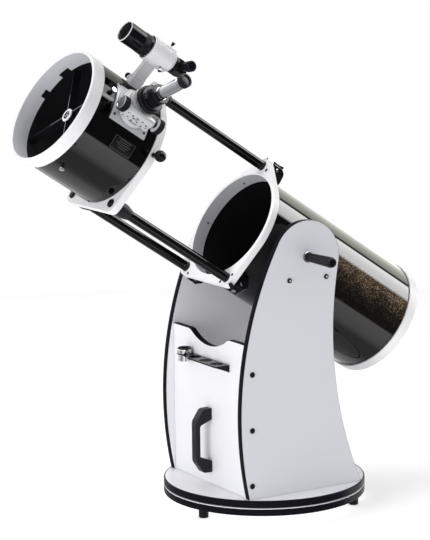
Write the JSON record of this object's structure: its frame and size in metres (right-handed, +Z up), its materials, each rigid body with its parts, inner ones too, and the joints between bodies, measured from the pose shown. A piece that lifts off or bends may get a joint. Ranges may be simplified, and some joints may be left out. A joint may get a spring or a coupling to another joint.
{
  "type": "dobsonian telescope",
  "caption": "Dobsonian reflecting telescope: sliding-truss tube with focuser and finder, tilting in a rocker box that turns on a round base.",
  "frame": {"origin": "centre of the ground board's underside, on the azimuth axis", "axes": "+Z up, -Y the way the tube's open end points, +X the side with the tension handle"},
  "size_m": [0.5542, 1.0871, 1.2289],
  "materials": {
    "board_white": "satin white laminate",
    "panel_grey": "satin white laminate, lavender-grey in shade",
    "white_coat": "white powder coat, fine orange peel",
    "black_tube": "gloss black with fine bronze flake",
    "black_rod": "gloss black",
    "black_plastic": "matte black, lightly textured",
    "nylon": "natural nylon",
    "rubber": "matte",
    "chrome": "polished",
    "steel": "satin",
    "mirror_glass": "polished"
  },
  "bodies": {
    "ground": {"ground_board": "board_white", "foot_1": "rubber", "foot_2": "rubber", "foot_3": "rubber", "pivot_bolt": "steel"},
    "bearing": {"azimuth_bearing": "nylon"},
    "rocker": {"azimuth_board": "board_white", "side_panel_right": "panel_grey", "side_panel_left": "panel_grey", "front_board": "board_white", "carry_handle": "black_plastic", "eyepiece_tray": "black_plastic", "bearing_bush_right_front": "nylon", "bearing_bush_right_rear": "nylon", "bearing_bush_left_front": "nylon", "bearing_bush_left_rear": "nylon"},
    "spare_adapter": {"spare_adapter": "chrome"},
    "tube": {"lower_tube": "black_tube", "lower_ring": "white_coat", "rear_ring": "white_coat", "mirror_cell": "steel", "primary_mirror": "mirror_glass", "altitude_bearing_right": "black_plastic", "altitude_bearing_left": "black_plastic", "rod_clamp_top": "black_plastic", "rod_clamp_right": "black_plastic", "rod_clamp_left": "black_plastic"},
    "tension_handle": {"tension_handle": "black_plastic"},
    "clamp_lever_top": {"clamp_lever_top": "black_plastic"},
    "clamp_lever_right": {"clamp_lever_right": "black_plastic"},
    "clamp_lever_left": {"clamp_lever_left": "black_plastic"},
    "collimation_knob_1": {"collimation_knob_1": "black_plastic"},
    "collimation_knob_2": {"collimation_knob_2": "black_plastic"},
    "collimation_knob_3": {"collimation_knob_3": "black_plastic"},
    "upper": {"upper_tube": "black_tube", "upper_ring": "white_coat", "front_ring": "white_coat", "truss_rod_top": "black_rod", "truss_rod_right": "black_rod", "truss_rod_left": "black_rod", "ball_knob": "black_plastic", "spider": "steel", "focuser_body": "white_coat", "finder_shoe": "black_plastic"},
    "secondary": {"secondary_holder": "black_plastic", "secondary_mirror": "mirror_glass"},
    "drawtube": {"focus_drawtube": "black_plastic", "eyepiece_adapter": "black_plastic"},
    "focus_shaft": {"focus_shaft": "black_plastic"},
    "focus_lock_screw": {"focus_lock_screw": "chrome"},
    "adapter_screw_1": {"adapter_screw_1": "chrome"},
    "adapter_screw_2": {"adapter_screw_2": "chrome"},
    "eyepiece": {"eyepiece": "chrome"},
    "finder_bracket": {"finder_bracket": "white_coat"},
    "shoe_screw": {"shoe_screw": "chrome"},
    "finder_gimbal": {"finder_o_ring": "rubber"},
    "finder_tube": {"finder_tube": "white_coat"},
    "finder_diagonal": {"finder_diagonal": "black_plastic"},
    "finder_screw_1": {"finder_screw_1": "black_plastic"},
    "finder_screw_2": {"finder_screw_2": "black_plastic"}
  },
  "joints": [
    {"name": "azimuth", "type": "hinge", "parent": "ground", "child": "rocker", "pos_m": [0, 0, 0], "axis": [0, 0, 1], "continuous": true},
    {"name": "bearing_turn", "type": "hinge", "parent": "ground", "child": "bearing", "pos_m": [0, 0, 0], "axis": [0, 0, 1], "continuous": true},
    {"name": "altitude", "type": "hinge", "parent": "rocker", "child": "tube", "pos_m": [0, 0.009, 0.623], "axis": [-1, 0, 0], "range_deg": [-33.5, 56.5]},
    {"name": "truss_slide", "type": "slide", "parent": "tube", "child": "upper", "axis": [0, 0.8339, -0.5519], "range_m": [0, 0.31]},
    {"name": "tension_turn", "type": "hinge", "parent": "tube", "child": "tension_handle", "pos_m": [0.19, 0.009, 0.623], "axis": [1, 0, 0], "range_deg": [-20, 720]},
    {"name": "clamp_top", "type": "hinge", "parent": "tube", "child": "clamp_lever_top", "pos_m": [0, 0.03715, 0.83222], "axis": [0, 0.5519, 0.8339], "range_deg": [-90, 90]},
    {"name": "clamp_right", "type": "hinge", "parent": "tube", "child": "clamp_lever_right", "pos_m": [0.10898, -0.15362, 0.54399], "axis": [0.5736, -0.4521, -0.6831], "range_deg": [-90, 90]},
    {"name": "clamp_left", "type": "hinge", "parent": "tube", "child": "clamp_lever_left", "pos_m": [-0.10898, -0.15362, 0.54399], "axis": [-0.5736, -0.4521, -0.6831], "range_deg": [-90, 90]},
    {"name": "collimation_1", "type": "hinge", "parent": "tube", "child": "collimation_knob_1", "pos_m": [0, 0.39333, 0.47894], "axis": [0, -0.8339, 0.5519], "range_deg": [-720, 720]},
    {"name": "collimation_2", "type": "hinge", "parent": "tube", "child": "collimation_knob_2", "pos_m": [-0.07967, 0.31716, 0.36387], "axis": [0, -0.8339, 0.5519], "range_deg": [-720, 720]},
    {"name": "collimation_3", "type": "hinge", "parent": "tube", "child": "collimation_knob_3", "pos_m": [0.07967, 0.31716, 0.36387], "axis": [0, -0.8339, 0.5519], "range_deg": [-720, 720]},
    {"name": "secondary_turn", "type": "hinge", "parent": "upper", "child": "secondary", "pos_m": [0, -0.47515, 0.94346], "axis": [0, -0.8339, 0.5519], "range_deg": [-10, 10]},
    {"name": "focus_slide", "type": "slide", "parent": "upper", "child": "drawtube", "axis": [0.8678, 0.2743, 0.4144], "range_m": [-0.009, 0.025]},
    {"name": "focus_turn", "type": "hinge", "parent": "upper", "child": "focus_shaft", "pos_m": [0.17545, -0.441, 0.99505], "axis": [0, -0.8339, 0.5519], "range_deg": [-480, 180]},
    {"name": "focus_lock_turn", "type": "hinge", "parent": "upper", "child": "focus_lock_screw", "pos_m": [0.17162, -0.44953, 0.98217], "axis": [0.497, -0.479, -0.7236], "range_deg": [-20, 720]},
    {"name": "adapter_screw_1_turn", "type": "hinge", "parent": "drawtube", "child": "adapter_screw_1", "pos_m": [0.18737, -0.38595, 1.04706], "axis": [-0.4071, 0.8706, 0.2762], "range_deg": [-20, 720]},
    {"name": "adapter_screw_2_turn", "type": "hinge", "parent": "drawtube", "child": "adapter_screw_2", "pos_m": [0.20814, -0.4408, 1.03988], "axis": [0.2851, -0.9578, 0.0371], "range_deg": [-20, 720]},
    {"name": "eyepiece_lift", "type": "slide", "parent": "drawtube", "child": "eyepiece", "axis": [0.8678, 0.2743, 0.4144], "range_m": [0, 0.045]},
    {"name": "finder_slide", "type": "slide", "parent": "upper", "child": "finder_bracket", "axis": [0, -0.8339, 0.5519], "range_m": [0, 0.06]},
    {"name": "shoe_screw_turn", "type": "hinge", "parent": "upper", "child": "shoe_screw", "pos_m": [0.03933, -0.39437, 1.07076], "axis": [-0.9272, 0.2068, 0.3124], "range_deg": [-20, 720]},
    {"name": "finder_tilt", "type": "hinge", "parent": "finder_bracket", "child": "finder_gimbal", "pos_m": [0.09065, -0.36832, 1.14182], "axis": [0.9272, -0.2068, -0.3124], "range_deg": [-1, 1]},
    {"name": "finder_swing", "type": "hinge", "parent": "finder_gimbal", "child": "finder_tube", "pos_m": [0.09065, -0.36832, 1.14182], "axis": [0.3746, 0.5117, 0.7732], "range_deg": [-1, 1]},
    {"name": "diagonal_turn", "type": "hinge", "parent": "finder_tube", "child": "finder_diagonal", "pos_m": [0.09065, -0.2891, 1.08939], "axis": [0, -0.8339, 0.5519], "continuous": true},
    {"name": "finder_screw_1_turn", "type": "hinge", "parent": "finder_bracket", "child": "finder_screw_1", "pos_m": [0.10943, -0.31464, 1.14864], "axis": [0.4695, 0.4873, 0.7363], "range_deg": [-20, 720]},
    {"name": "finder_screw_2_turn", "type": "hinge", "parent": "finder_bracket", "child": "finder_screw_2", "pos_m": [0.11185, -0.35286, 1.0909], "axis": [0.5299, -0.4681, -0.7072], "range_deg": [-20, 720]},
    {"name": "spare_lift", "type": "slide", "parent": "rocker", "child": "spare_adapter", "axis": [0, 0, 1], "range_m": [0, 0.04]}
  ],
  "couplings": [
    {"joint": "bearing_turn", "follows": "azimuth", "ratio": 0.5},
    {"joint": "focus_turn", "follows": "focus_slide", "rad_per_m": -333.33}
  ]
}
